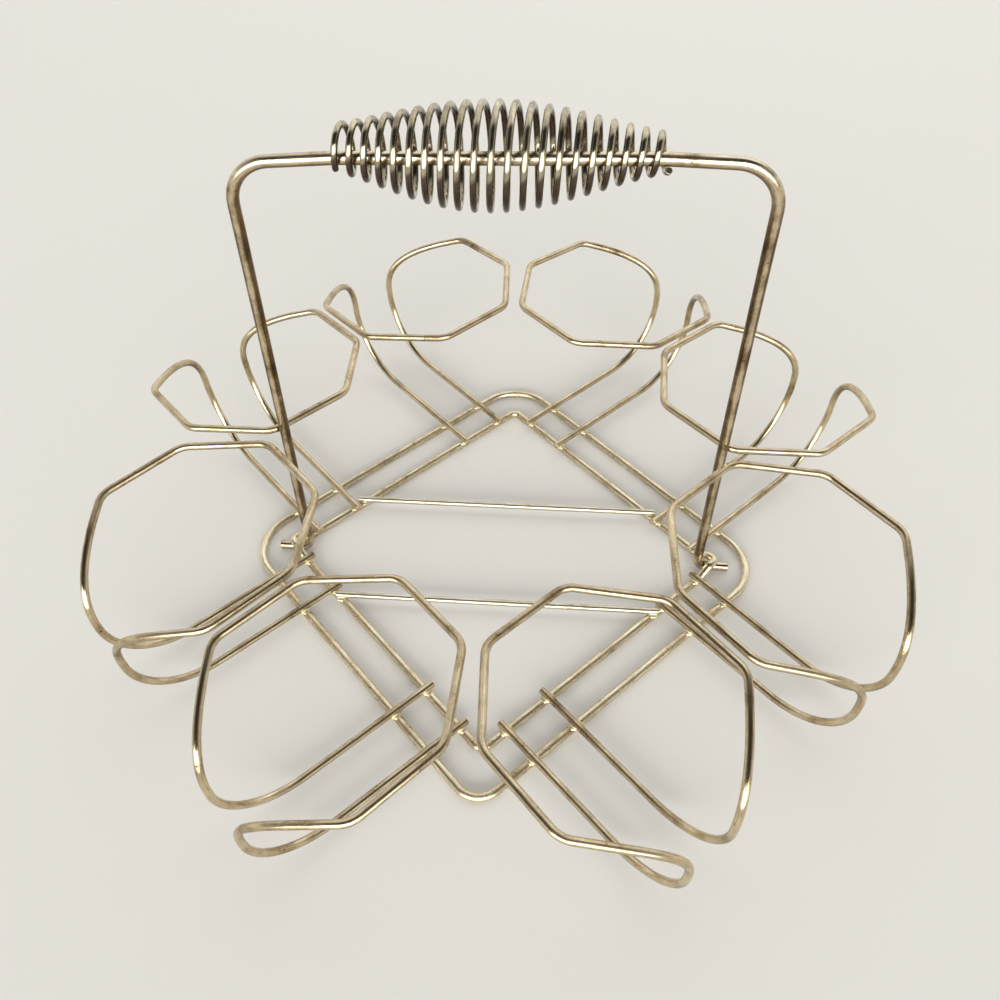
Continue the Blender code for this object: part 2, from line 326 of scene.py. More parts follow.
# %% [markdown]
# ## Cut ends
#
# The legs, rods and feet end where the wire was cut off square. Shears leave a rim that is never
# quite sharp, and the plating rounds it further. In edit mode the caps are the only triangles, so
# they are picked by their number of sides, each is joined to one face, and its rim is bevelled.

# %% Round the rim of a cut
CUT_RIM = 0.00022


def round_cut_ends(piece, rim=CUT_RIM):
    """Bevel the rim of each flat end."""
    select_only([piece])
    bpy.ops.object.mode_set(mode="EDIT")
    bpy.ops.mesh.select_mode(type="FACE")
    bpy.ops.mesh.select_all(action="DESELECT")
    bpy.ops.mesh.select_face_by_sides(number=3, type="EQUAL", extend=False)
    bpy.ops.mesh.dissolve_faces()
    bpy.ops.mesh.region_to_loop()
    bpy.ops.mesh.bevel(offset=rim, segments=3, affect="EDGES")
    bpy.ops.mesh.select_mode(type="VERT")
    bpy.ops.object.mode_set(mode="OBJECT")
    bpy.ops.object.shade_smooth_by_angle(angle=SMOOTH_ANGLE)
    print(f"{piece.name}: rims rounded by {MM * rim:.2f} mm")


# %% [markdown]
# ## Cross rods
#
# Two thin rods lie on the inner frame from side to side and keep it square. They are straight and
# cut a couple of millimetres past the frame. A straight wire has no bends to draw, but it gets a
# point every few millimetres all the same, so that its faces don't become long and thin.

# %% Cross rods
ROD_OVERHANG = 0.002
ROD_RUNS = 40

for name, y in (("cross_rod_front", -CROSS_ROD_Y), ("cross_rod_back", CROSS_ROD_Y)):
    half = INNER_CORNER_X - abs(y) + ROD_OVERHANG
    rod_path = [Vector((half * (2 * i / ROD_RUNS - 1), y, CROSS_Z)) for i in range(ROD_RUNS + 1)]
    rod = draw_wire(name + "_wire", rod_path, CROSS_WIRE)
    round_cut_ends(rod)
    finish_piece(rod, "base", [name])

# %% [markdown]
# ## Hoop
#
# One hoop is one wire. It starts as a leg across both frames, sweeps up and outwards in a quarter
# circle, leans over in a soft shoulder, and then makes five sides of an octagon with round kinks,
# which hold the glass. The second half mirrors the first. The shoulder is the one stretch that no
# single pin bends, so it follows a cubic curve: it leaves the sweep upright and meets the octagon
# along that side's slope. A reach is measured outwards from the outer frame.

# %% Sizes of a hoop
LEG_OVERHANG = 0.0034
SWEEP_START = 0.0417
SWEEP_RADIUS = 0.0308
SWEEP_TOP = 0.0380

SHOULDER_PULL_UP = 0.0160
SHOULDER_PULL_BACK = 0.0300
SHOULDER_SLOPE = Vector((0.68, -0.70, 0.22))
SHOULDER_POINTS = 24
SHOULDER_SHARE = 6 / 7

OUTER_KINK_REACH = 0.0455
OUTER_KINK_HEIGHT = 0.0672
MIDDLE_KINK_REACH = 0.0100
MIDDLE_KINK_HEIGHT = 0.0700
HOOP_HEIGHT = 0.0720
KINK_RADIUS = 0.0090

print(f"a hoop's wire rises to {MM * HOOP_HEIGHT:.0f} mm and spans {MM * HOOP_WIDTH:.1f} mm")

# %% One hoop's path
def cubic(start, pull_start, pull_end, end, count, share):
    """Points along this share of a cubic curve, without its first point."""
    points = []
    for i in range(1, count + 1):
        t = share * i / count
        s = 1 - t
        points.append(start * s**3 + pull_start * 3 * s * s * t + pull_end * 3 * s * t * t + end * t**3)
    return points


def hoop_arm():
    """The leg, the sweep and the shoulder, and the kink that the shoulder heads for."""
    leg_x = LEG_SPACING / 2
    sweep_y = OUTER_HALF_SIDE + SWEEP_START
    arm = [Vector((leg_x, INNER_HALF_SIDE - LEG_OVERHANG, LEG_Z))]
    steps = round(math.pi / 2 / BEND_STEP)
    for i in range(steps + 1):
        angle = math.pi / 2 * i / steps
        y = sweep_y + SWEEP_RADIUS * math.sin(angle)
        arm.append(Vector((leg_x, y, LEG_Z + SWEEP_RADIUS * (1 - math.cos(angle)))))
    top = Vector((leg_x, sweep_y + SWEEP_RADIUS, SWEEP_TOP))
    outer = Vector((HOOP_WIDTH / 2, OUTER_HALF_SIDE + OUTER_KINK_REACH, OUTER_KINK_HEIGHT))
    pull_start = top + Vector((0, 0, SHOULDER_PULL_UP))
    pull_end = outer - SHOULDER_SLOPE.normalized() * SHOULDER_PULL_BACK
    shoulder = cubic(top, pull_start, pull_end, outer, SHOULDER_POINTS, SHOULDER_SHARE)
    return arm + [top] + shoulder, outer


def hoop_path():
    """One hoop from leg to leg. x runs along the side and y outwards from the caddy's middle."""
    arm, outer = hoop_arm()
    middle = (HOOP_WIDTH / 2, OUTER_HALF_SIDE + MIDDLE_KINK_REACH, MIDDLE_KINK_HEIGHT)
    inner = (HOOP_INNER_SIDE / 2, HOOP_INNER_Y, HOOP_HEIGHT)
    across = (-HOOP_INNER_SIDE / 2, HOOP_INNER_Y, HOOP_HEIGHT)
    radii = [0] + [KINK_RADIUS] * 3 + [0]
    half = arm + bent_path([arm[-1], outer, middle, inner, across], radii)[1:-1]
    return half + [Vector((-p.x, p.y, p.z)) for p in reversed(half)]


# %% Draw one hoop
hoop_wire = draw_wire("hoop", hoop_path(), HOOP_WIRE)
round_cut_ends(hoop_wire)

# %% [markdown]
# ## Eight hoops
#
# The hoop is modelled once and copied, each copy with a mesh of its own. A copy is turned to its
# side and moved along it, and the move is then applied, so that its place is in its mesh.

# %% Copy and place the hoops
for angle, negative, positive in SIDES:
    turn = Matrix.Rotation(math.radians(angle - 90), 4, "Z")
    for name, x in ((negative, -HOOP_SPACING / 2), (positive, HOOP_SPACING / 2)):
        select_only([hoop_wire])
        bpy.ops.object.duplicate(linked=False)
        copy = bpy.context.object
        copy.name = name + "_wire"
        copy.rotation_euler = turn.to_euler()
        copy.location = turn @ Vector((x, 0, 0))
        bpy.ops.object.transform_apply(location=True, rotation=True, scale=True)
        finish_piece(copy, "base", [name])
bpy.data.objects.remove(hoop_wire)

# %% [markdown]
# ## Welds
#
# Where two wires cross, a spot weld has melted them together and left a small fillet in the corners
# between them. Two short stubs of wire and a flat puddle are joined, remeshed into one skin and
# smoothed, which rounds the corners the way molten metal does. The stubs end up just inside the real
# wires, so only the fillet shows. The upper stub is the shorter, because a leg ends just past its
# crossing with the inner frame.

# %% A fused crossing
STUB_INSET = 0.00006
LOWER_STUB = 0.0066
UPPER_STUB = 0.0034
PUDDLE_RADIUS = 0.0028
PUDDLE_SINK = 0.0004
PUDDLE_FLATNESS = 0.35
MELT_VOXEL = 0.00025
FLOW_STEPS = 6


def melt_together(bead):
    """Remesh the joined stubs and puddle into one skin, and let its corners flow."""
    remesh = bead.modifiers.new("melt", "REMESH")
    remesh.mode = "VOXEL"
    remesh.voxel_size = MELT_VOXEL
    smooth = bead.modifiers.new("flow", "SMOOTH")
    smooth.factor = 0.5
    smooth.iterations = FLOW_STEPS
    bpy.ops.object.modifier_apply(modifier="melt")
    bpy.ops.object.modifier_apply(modifier="flow")
    bpy.ops.object.shade_smooth()


def fused_crossing(name, lower, upper, turn):
    """The weld of an upper wire, turned from the Y axis, on a lower wire along the X axis."""
    deselect_all()
    height = (lower + upper) / 2 - WELD_SINK
    parts = []
    bpy.ops.mesh.primitive_cylinder_add(
        vertices=24, radius=lower / 2 - STUB_INSET, depth=LOWER_STUB, rotation=(0, math.pi / 2, 0)
    )
    parts.append(bpy.context.object)
    bpy.ops.mesh.primitive_cylinder_add(
        vertices=24, radius=upper / 2 - STUB_INSET, depth=UPPER_STUB,
        location=(0, 0, height), rotation=(math.pi / 2, 0, turn)
    )
    parts.append(bpy.context.object)
    bpy.ops.mesh.primitive_uv_sphere_add(
        segments=20, ring_count=12, radius=PUDDLE_RADIUS, location=(0, 0, lower / 2 - PUDDLE_SINK)
    )
    parts.append(bpy.context.object)
    bpy.ops.transform.resize(value=(1, 1, PUDDLE_FLATNESS))
    select_only(parts)
    bpy.ops.object.join()
    bead = bpy.context.object
    bead.name = name
    bpy.ops.object.transform_apply(location=True, rotation=True, scale=True)
    melt_together(bead)
    print(f"{name}: {len(bead.data.polygons)} faces")
    return bead


leg_weld = fused_crossing("leg_weld", FRAME_WIRE, HOOP_WIRE, 0)

# %% [markdown]
# The weld is copied to every crossing of a leg with a frame, and the rods' weld to the four ends of
# the rods. All the welds of the legs are joined to one piece, and all those of the rods to another.

# %% Copy and join welds
def copy_to(source, places):
    """Copies of a piece at (place, angle) pairs, as a list."""
    copies = []
    for place, angle in places:
        select_only([source])
        bpy.ops.object.duplicate(linked=False)
        copy = bpy.context.object
        copy.rotation_euler = (0, 0, angle)
        copy.location = place
        copies.append(copy)
    bpy.data.objects.remove(source)
    return copies


def weld_set(name, welds):
    """One piece that holds all these welds."""
    select_only(welds)
    bpy.ops.object.join()
    bpy.ops.object.transform_apply(location=True, rotation=True, scale=True)
    piece = bpy.context.object
    piece.name = name
    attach(piece, "base")
    print(f"{name}: {len(piece.data.polygons)} faces")
    return piece


# %% Welds of the legs
def leg_crossings(half_side):
    """Where the legs of all hoops cross a frame of this half side."""
    places = []
    for angle, _, _ in SIDES:
        turn = Matrix.Rotation(math.radians(angle - 90), 3, "Z")
        for x in (-HOOP_SPACING / 2, HOOP_SPACING / 2):
            for leg in (-LEG_SPACING / 2, LEG_SPACING / 2):
                place = turn @ Vector((x + leg, half_side, FRAME_Z))
                places.append((place, math.radians(angle - 90)))
    return places


leg_places = leg_crossings(OUTER_HALF_SIDE) + leg_crossings(INNER_HALF_SIDE)
leg_welds = weld_set("welds_hoop_legs", copy_to(leg_weld, leg_places))

# %% Welds of the rods
rod_reach = INNER_CORNER_X - CROSS_ROD_Y
rod_copies = []
for across in (math.pi / 4, -math.pi / 4):
    rod_weld = fused_crossing("rod_weld", FRAME_WIRE, CROSS_WIRE, across)
    y_side = -1 if across > 0 else 1
    rod_places = []
    for x_side in (1, -1):
        place = Vector((x_side * rod_reach, x_side * y_side * CROSS_ROD_Y, FRAME_Z))
        rod_places.append((place, across))
    rod_copies += copy_to(rod_weld, rod_places)
rod_welds = weld_set("welds_cross_rods", rod_copies)

# %% [markdown]
# ## Bail
#
# The handle is one stout wire. Its feet turn out under the inner frame's raised corners and it turns
# on them. The legs lean out a little towards the feet, and the bar sits a touch to the right and a
# touch higher there, as the photograph shows. The bar is straight under the grip and slopes down to
# each shoulder. The bail rests back against the hoops, so the finished wire is turned a degree and a
# half about its feet.

# %% Sizes of the bail
BAIL_HEIGHT = 0.1862
SHOULDER_DROP = 0.0018
SHOULDER_HEIGHT = BAIL_HEIGHT - SHOULDER_DROP
SLOPE_LENGTH = 0.0350
BAIL_TOP_SHIFT = 0.0030
BAIL_TOP_RISE = 0.0027
SWING_ROOM = 0.00187
FOOT_INSET = 0.0080
TIP_REACH = 0.0058
CONTACT_GAP = 0.0003

PIVOT_TO_HOOP = HOOP_HEIGHT - FOOT_Z
LEG_TO_HOOP = BAIL_WIRE / 2 + HOOP_WIRE / 2 + CONTACT_GAP
SHIFT_AT_HOOP = BAIL_TOP_SHIFT * PIVOT_TO_HOOP / SHOULDER_HEIGHT
BAIL_LEG_X = (HOOP_INNER_Y - LEG_TO_HOOP) * DIAGONAL - SHIFT_AT_HOOP - SWING_ROOM
BAIL_FOOT_HALF = INNER_CORNER_X - FOOT_INSET
BAIL_TIP_HALF = INNER_CORNER_X + TIP_REACH
BAIL_TOP_HALF = BAIL_FOOT_HALF + (BAIL_LEG_X - BAIL_FOOT_HALF) * SHOULDER_HEIGHT / PIVOT_TO_HOOP
LEAN_ANGLE = math.asin(SWING_ROOM / PIVOT_TO_HOOP)
LEAN = Matrix.Rotation(-LEAN_ANGLE, 3, "X")

print(f"the bail leans back by {math.degrees(LEAN_ANGLE):.2f} degrees")

# %% Bail
FOOT_BEND = 0.0045
SHOULDER_BEND = 0.0150
SLOPE_BEND = 0.080
BAIL_RIM = 0.0003


def lean_back(path):
    """Turn an upright path about the bail's feet, and set it at their height."""
    return [LEAN @ place + Vector((0, 0, FOOT_Z)) for place in path]


def bar_height(x):
    """Height of the bar at x. It rises a little from left to right."""
    return BAIL_HEIGHT + BAIL_TOP_RISE * (x - BAIL_TOP_SHIFT) / (2 * BAIL_TOP_HALF)


left = BAIL_TOP_SHIFT - BAIL_TOP_HALF
right = BAIL_TOP_SHIFT + BAIL_TOP_HALF
bail_corners = [
    (-BAIL_TIP_HALF, 0, 0),
    (-BAIL_FOOT_HALF, 0, 0),
    (left, 0, bar_height(left) - SHOULDER_DROP),
    (left + SLOPE_LENGTH, 0, bar_height(left + SLOPE_LENGTH)),
    (right - SLOPE_LENGTH, 0, bar_height(right - SLOPE_LENGTH)),
    (right, 0, bar_height(right) - SHOULDER_DROP),
    (BAIL_FOOT_HALF, 0, 0),
    (BAIL_TIP_HALF, 0, 0),
]
bail_radii = [0, FOOT_BEND, SHOULDER_BEND, SLOPE_BEND, SLOPE_BEND, SHOULDER_BEND, FOOT_BEND, 0]
bail_path = lean_back(bent_path(bail_corners, bail_radii))
bail = draw_wire("bail_wire", bail_path, BAIL_WIRE, sides=24)
round_cut_ends(bail, rim=BAIL_RIM)
finish_piece(bail, "bail", ["bail"])

# %% [markdown]
# ## Spring grip
#
# The grip is a barrel-shaped coil of 21 turns. Its end turns are narrow and sit high and back on the
# bar, so they press on it from below and in front. The turns between them swell out all round it, so
# the hand meets a soft barrel. No primitive has that swell, so the wire's middle line comes from a
# formula: the radius and the offset from the bar follow a sine from end to end, raised to a power
# that keeps the ends slim. The skew puts the widest turn a little left of the middle, and the squeeze
# sets the turns a little closer towards the ends.

# %% Sizes of the grip
GRIP_TURNS = 21
GRIP_POINTS_PER_TURN = 30
GRIP_TILT = math.radians(50)
GRIP_LENGTH = 0.0998
GRIP_MIDDLE_X = 0.00345
GRIP_SKEW = 0.91
GRIP_SQUEEZE = 0.021
SWELL_POWER = 1.44
LEFT_RADIUS = 0.00645
RIGHT_RADIUS = 0.00515
MIDDLE_RADIUS = 0.0149
MIDDLE_OFFSET = 0.0004
WIRE_TO_BAR = GRIP_WIRE / 2 + BAIL_WIRE / 2 + CONTACT_GAP
GRIP_RIM = 0.00012

print(f"the grip is {MM * (2 * MIDDLE_RADIUS + GRIP_WIRE):.1f} mm thick at its middle")

# %% Spring grip
grip_steps = GRIP_TURNS * GRIP_POINTS_PER_TURN
grip_path = []
for i in range(grip_steps + 1):
    s = i / grip_steps
    swell = abs(math.sin(math.pi * s**GRIP_SKEW)) ** SWELL_POWER
    end_radius = LEFT_RADIUS * (1 - s) + RIGHT_RADIUS * s
    radius = end_radius + (MIDDLE_RADIUS - end_radius) * swell
    end_offset = end_radius - WIRE_TO_BAR
    offset = end_offset + (MIDDLE_OFFSET - end_offset) * swell
    along = s - GRIP_SQUEEZE * math.sin(2 * math.pi * s) / (2 * math.pi)
    x = GRIP_MIDDLE_X + (along - 0.5) * GRIP_LENGTH
    angle = GRIP_TILT + 2 * math.pi * GRIP_TURNS * s
    y = offset * math.sin(GRIP_TILT) - radius * math.sin(angle)
    z = offset * math.cos(GRIP_TILT) - radius * math.cos(angle)
    grip_path.append(Vector((x, y, bar_height(x) + z)))

grip = draw_wire("spring_grip_wire", lean_back(grip_path), GRIP_WIRE, sides=14)
round_cut_ends(grip, rim=GRIP_RIM)
finish_piece(grip, "bail", ["spring_grip"])

# %% [markdown]
# ## Nodes and colours
#
# Colours are written as sRGB hex values, as a paint program shows them, and made linear for the
# shader. One helper adds a node, sets what is the same all over it and links what varies. Sockets
# that share a name, as on Math and Mix nodes, are given by their number. A Mix node has a pair of
# inputs and a result for each kind of data, so the numbers of those for colours get names.

# %% Colour and node helpers
MIX_A = 6
MIX_B = 7
MIX_RESULT = 2


def linear(hex_colour):
    """A linear RGBA colour from an sRGB hex string."""
    channels = [int(hex_colour[i:i + 2], 16) / 255 for i in (1, 3, 5)]
    return tuple(c / 12.92 if c <= 0.04045 else ((c + 0.055) / 1.055) ** 2.4 for c in channels) + (1.0,)


def add_node(tree, kind, sockets=None, stops=(), **settings):
    """Add a node. A socket is given a value, or another node's output to link. The stops of a
    colour ramp are pairs of a position and a colour."""
    node = tree.nodes.new(kind)
    for key, value in settings.items():
        setattr(node, key, value)
    for key, value in (sockets or {}).items():
        if isinstance(value, bpy.types.NodeSocket):
            tree.links.new(value, node.inputs[key])
        else:
            node.inputs[key].default_value = value
    if stops:
        elements = node.color_ramp.elements
        while len(elements) < len(stops):
            elements.new(1.0)
        for element, (position, colour) in zip(elements, stops):
            element.position = position
            element.color = colour
    return node


def coat(material, *pieces):
    """Give pieces this material alone."""
    for piece in pieces:
        piece.data.materials.clear()
        piece.data.materials.append(material)


print("champagne gold is", [round(c, 2) for c in linear("#D8C8A4")[:3]])

# %% [markdown]
# ## Plated wire
#
# The metal is steel wire, pulled through a die and then plated with a thin, bright, gold-coloured
# coat. Use and damp have turned the plating from fresh over dull to tarnished in patches of a
# centimetre or so. All the wires have this finish, so one function makes it, and the cells before
# it each make one part of it, from nodes that read the place, the normal or the measured UV map:
# real wear, and painted shade and painted highlight.
#
# The bail is browner than the rest. Its legs are browner at their sides and paler along the front
# and back, where the normal points along Y. The brown is partly the plate's own and partly painted
# shade, and the paler front and back are a painted highlight. The brown fades near the table, where
# the paler feet are a painted highlight too, and over the shoulders, so its share is a ramp over
# height. It is added to the noise of the patches, and one ramp of colours then serves both.

# %% Brown, painted shade and painted highlight on the sides
PAINTED_HIGHLIGHT_NORMAL = 0.99
PAINTED_HIGHLIGHT_EDGE_NORMAL = 0.80
BROWN_UNDER_PAINTED_HIGHLIGHT = 0.25
BROWN_AND_SHADE_WEIGHT = 0.34


def add_brown_and_painted_light(tree, patches, places, normal_y, brown_and_shade_heights):
    """The patches' noise with brown added, part the plate's own and part painted shade, and less of it
    where a painted highlight runs along the front and back. browned lists heights with their share of
    brown.
    """
    height = add_node(tree, "ShaderNodeSeparateXYZ", {"Vector": places}).outputs["Z"]
    stops = [(z, (share, share, share, 1)) for z, share in brown_and_shade_heights]
    brown_and_shade_share = add_node(tree, "ShaderNodeValToRGB", {"Fac": height}, stops=stops).outputs["Color"]
    # Painted highlight: where the normal points along Y, at the front and back of the legs, the brown
    # drops to a quarter.
    across = add_node(tree, "ShaderNodeMath", {0: normal_y}, operation="ABSOLUTE").outputs["Value"]
    outside_painted_highlight = add_node(
        tree, "ShaderNodeMapRange",
        {"Value": across, "From Min": PAINTED_HIGHLIGHT_NORMAL, "From Max": PAINTED_HIGHLIGHT_EDGE_NORMAL,
         "To Min": BROWN_UNDER_PAINTED_HIGHLIGHT},
    ).outputs["Result"]
    brown_and_painted_shade = add_node(
        tree, "ShaderNodeMath", {0: brown_and_shade_share, 1: outside_painted_highlight}, operation="MULTIPLY"
    ).outputs["Value"]
    return add_node(
        tree, "ShaderNodeMath", {0: brown_and_painted_shade, 1: BROWN_AND_SHADE_WEIGHT, 2: patches}, operation="MULTIPLY_ADD"
    ).outputs["Value"]


# %% [markdown]
# The underside of a wire is darker: painted shade in the tarnished colour, and in the pitted one
# where it faces straight down. The upward part of the normal says how far round a point is, and two
# ranges of it mix in first the one colour and then the other.

# %% Painted shade on the undersides
STRAIGHT_DOWN = -0.9


def painted_shade_below(tree, plate, normal_z, tarnish_colour_as_shade, pitted, under):
    """The plate with painted shade over its underside, in the tarnished colour, from one upward tilt of
    the normal to the other.
    """
    start, full = under
    # Painted shade: the more a point faces down, the more of the darker colours it gets.
    below = add_node(
        tree, "ShaderNodeMapRange", {"Value": normal_z, "From Min": start, "From Max": full}
    ).outputs["Result"]
    deep = add_node(
        tree, "ShaderNodeMapRange", {"Value": normal_z, "From Min": full, "From Max": STRAIGHT_DOWN}
    ).outputs["Result"]
    brown = add_node(
        tree, "ShaderNodeMix", {0: deep, MIX_A: tarnish_colour_as_shade, MIX_B: pitted}, data_type="RGBA"
    ).outputs[MIX_RESULT]
    return add_node(
        tree, "ShaderNodeMix", {0: below, MIX_A: plate, MIX_B: brown}, data_type="RGBA"
    ).outputs[MIX_RESULT]


# %% [markdown]
# Where the plating has gone it leaves dark pits of about half a millimetre, more of them in the worn
# patches. A handled wire is also scuffed along its length. Both are noise, cut off at a level. The
# UV map is in millimetres, so scaling it by 0.14 along and 1.3 round gives scuffs about 7 mm long
# and 0.8 mm wide. Real ones are finer, and these are drawn as coarse as they need to be to show.

# %% Pits and scuffs
PIT_SPACING_MM = 0.9
PIT_EDGE = 0.70
PIT_FULL = 0.76
PATCH_RANGE = {"From Min": 0.35, "From Max": 0.7}
SCUFF_SCALE = (0.14, 1.3, 1.0)
SCUFF_EDGE = 0.50
SCUFF_FULL = 0.72


def marks(tree, places, along, patches, pits, scuffs):
    """How much the wire is marked: 1 in a pit, up to scuffs in a scuff, and 0 elsewhere."""
    specks = add_node(
        tree, "ShaderNodeTexNoise",
        {"Vector": places, "Scale": MM / PIT_SPACING_MM, "Detail": 3.0, "Roughness": 0.6},
    ).outputs["Fac"]
    more = add_node(
        tree, "ShaderNodeMapRange", {"Value": patches, **PATCH_RANGE, "To Min": -0.06, "To Max": 0.05}
    ).outputs["Result"]
    sparse = add_node(tree, "ShaderNodeMath", {0: specks, 1: more}, operation="ADD").outputs["Value"]
    gone = add_node(
        tree, "ShaderNodeMapRange",
        {"Value": sparse, "From Min": PIT_EDGE - pits, "From Max": PIT_FULL - pits},
    ).outputs["Result"]
    short = add_node(
        tree, "ShaderNodeMapping", {"Vector": along, "Scale": SCUFF_SCALE}
    ).outputs["Vector"]
    rubs = add_node(
        tree, "ShaderNodeTexNoise", {"Vector": short, "Scale": 1.0, "Detail": 5.0, "Roughness": 0.80}
    ).outputs["Fac"]
    scuffed = add_node(
        tree, "ShaderNodeMapRange",
        {"Value": rubs, "From Min": SCUFF_EDGE, "From Max": SCUFF_FULL, "To Max": scuffs},
    ).outputs["Result"]
    return add_node(tree, "ShaderNodeMath", {0: gone, 1: scuffed}, operation="MAXIMUM").outputs["Value"]


# %% [markdown]
# The die leaves fine lines along the wire. They are noise too, scaled to about 17 mm by 0.6 mm,
# which is coarser than the real ones, so that they show as shade and relief. The real ones are too
# fine for that and only spread the gloss across the wire, which the shader's anisotropy along the
# UV map's tangent gives. A metal has its colour from its base colour alone, so Metallic is 1 and the
# IOR keeps its default.

# %% Drawing lines and gloss
LINE_SCALE = (0.06, 1.6, 1.0)
RELIEF_STRENGTH = 0.35
RELIEF_HEIGHT = 0.00006
DRAWN_GLOSS = {"Anisotropic": 0.9, "Anisotropic Rotation": 0.25}


def drawing_lines(tree, along):
    """Noise that is stretched to lines along the wire."""
    stretched = add_node(
        tree, "ShaderNodeMapping", {"Vector": along, "Scale": LINE_SCALE}
    ).outputs["Vector"]
    return add_node(
        tree, "ShaderNodeTexNoise", {"Vector": stretched, "Scale": 1.0, "Detail": 5.0, "Roughness": 0.7}
    ).outputs["Fac"]


def metal_surface(tree, colour, roughness, relief, drawn):
    """The shader and the output. Metal that was drawn spreads its gloss across its lines."""
    bump = add_node(
        tree, "ShaderNodeBump",
        {"Height": relief, "Strength": RELIEF_STRENGTH, "Distance": RELIEF_HEIGHT},
    ).outputs["Normal"]
    metal = {"Base Color": colour, "Metallic": 1.0, "Roughness": roughness, "Normal": bump}
    if drawn:
        metal["Tangent"] = add_node(
            tree, "ShaderNodeTangent", direction_type="UV_MAP", uv_map="UVMap"
        ).outputs["Tangent"]
        metal.update(DRAWN_GLOSS)
    shader = add_node(tree, "ShaderNodeBsdfPrincipled", metal)
    add_node(tree, "ShaderNodeOutputMaterial", {"Surface": shader.outputs["BSDF"]})


# %% [markdown]
# The whole metal is built up in layers: the plating in its patches first, then the painted shade
# below, the pits and scuffs, and the shade of the lines over all of it. Worn patches are rougher
# too, and the relief has the lines raised and the marks sunk.

# %% The whole metal
PATCH_MM = 14.0
WEAR_LEVELS = (0.36, 0.55, 0.74, 1.0)
LINE_SHADE = {"From Min": 0.3, "From Max": 0.7, "To Min": 0.80, "To Max": 1.08}


def plated_wire(name, colours, shine, pits, scuffs=0.0, patch_mm=PATCH_MM, under=(0.0, -0.6),
                brown_and_shade_heights=None, drawn=True):
    """Plated drawn wire. colours go from fresh over dull and tarnished to pitted, and shine is its
    roughness from bright to dull. pits and scuffs say how much of it is marked, and patch_mm how
    large its patches are. under gives the upward tilt at which the painted shade of the underside
    starts and is full. browned lists heights in metres with how brown the wire is there, from 0 to 1,
    the brown being partly the plate's own and partly painted shade. drawn is False for metal without
    lines."""
    shades = [linear(colour) for colour in colours]
    tarnish_colour_as_shade, pitted = shades[2:]
    material = bpy.data.materials.new(name)
    material.use_nodes = True
    tree = material.node_tree
    tree.nodes.clear()
    places = add_node(tree, "ShaderNodeTexCoord").outputs["Object"]
    along = add_node(tree, "ShaderNodeUVMap", uv_map="UVMap").outputs["UV"]
    normal = add_node(tree, "ShaderNodeNewGeometry").outputs["Normal"]
    facing = add_node(tree, "ShaderNodeSeparateXYZ", {"Vector": normal}).outputs
    patches = add_node(
        tree, "ShaderNodeTexNoise",
        {"Vector": places, "Scale": MM / patch_mm, "Detail": 6.0, "Roughness": 0.65},
    ).outputs["Fac"]
    # On the bail, brown that is partly painted shade, with a painted highlight along Y, is added to the
    # patches.
    wear_and_painted_light = add_brown_and_painted_light(tree, patches, places, facing["Y"], brown_and_shade_heights) if brown_and_shade_heights else patches
    plate = add_node(
        tree, "ShaderNodeValToRGB", {"Fac": wear_and_painted_light}, stops=list(zip(WEAR_LEVELS, shades))
    ).outputs["Color"]
    # Painted shade on the underside.
    plate = painted_shade_below(tree, plate, facing["Z"], tarnish_colour_as_shade, pitted, under)
    marked = marks(tree, places, along, patches, pits, scuffs)
    worn_and_painted_shade = add_node(
        tree, "ShaderNodeMix", {0: marked, MIX_A: plate, MIX_B: pitted}, data_type="RGBA"
    ).outputs[MIX_RESULT]
    lines = drawing_lines(tree, along)
    lined = add_node(tree, "ShaderNodeMapRange", {"Value": lines, **LINE_SHADE}).outputs["Result"]
    colour = add_node(
        tree, "ShaderNodeVectorMath", {0: worn_and_painted_shade, 1: lined}, operation="MULTIPLY"
    ).outputs["Vector"]
    roughness = add_node(
        tree, "ShaderNodeMapRange",
        {"Value": patches, **PATCH_RANGE, "To Min": shine[0], "To Max": shine[1]},
    ).outputs["Result"]
    relief = add_node(
        tree, "ShaderNodeMath", {0: lines, 1: marked}, operation="SUBTRACT"
    ).outputs["Value"]
    metal_surface(tree, colour, roughness, relief, drawn)
    print(f"{name}: {len(tree.nodes)} nodes")
    return material


# %% [markdown]
# ## The wires' finishes
#
# The frames have the palest gold, but they take the knocks, so they are also the most scuffed and
# the dullest. The hoops are darker and shinier, with more painted shade on their undersides. The
# rods are greyer and have the fewest marks. The bail and the grip are polished by hands and are the
# glossiest, the bail with its brown legs, partly painted shade and with a painted highlight, and the
# grip with a grey plate that has painted shade all over its lower half.

# %% Frames, hoops and rods
wires = {piece.name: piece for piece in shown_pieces()}

frame_plate = plated_wire(
    "gold_plated_frame_wire", ("#F7EACC", "#EAD9B4", "#BAA47E", "#4E402A"), (0.20, 0.36), 0.08,
    scuffs=0.7
)
coat(frame_plate, wires["outer_frame_wire"], wires["inner_frame_wire"])

# The hoops' undersides get more painted shade than the other wires.
hoop_plate = plated_wire(
    "gold_plated_hoop_wire", ("#E4D3B0", "#CCB894", "#826C4E", "#33281C"), (0.16, 0.30), 0.06,
    scuffs=0.6, under=(0.0, -0.4)
)
coat(hoop_plate, *[wires[name] for name in wires if name.startswith("hoop_")])

rod_plate = plated_wire(
    "gold_plated_rod_wire", ("#E9E2CC", "#D9CFB4", "#A3957A", "#4E4230"), (0.18, 0.28), 0.03,
    scuffs=0.2
)
coat(rod_plate, wires["cross_rod_front_wire"], wires["cross_rod_back_wire"])

# %% Bail and grip
# Brown by height, partly the plate's own and partly painted shade; none at the feet, whose paler tips
# are a painted highlight.
BROWN_AND_SHADE_HEIGHTS = [(0.004, 0.0), (0.016, 0.9), (0.165, 1.0), (0.187, 0.1)]

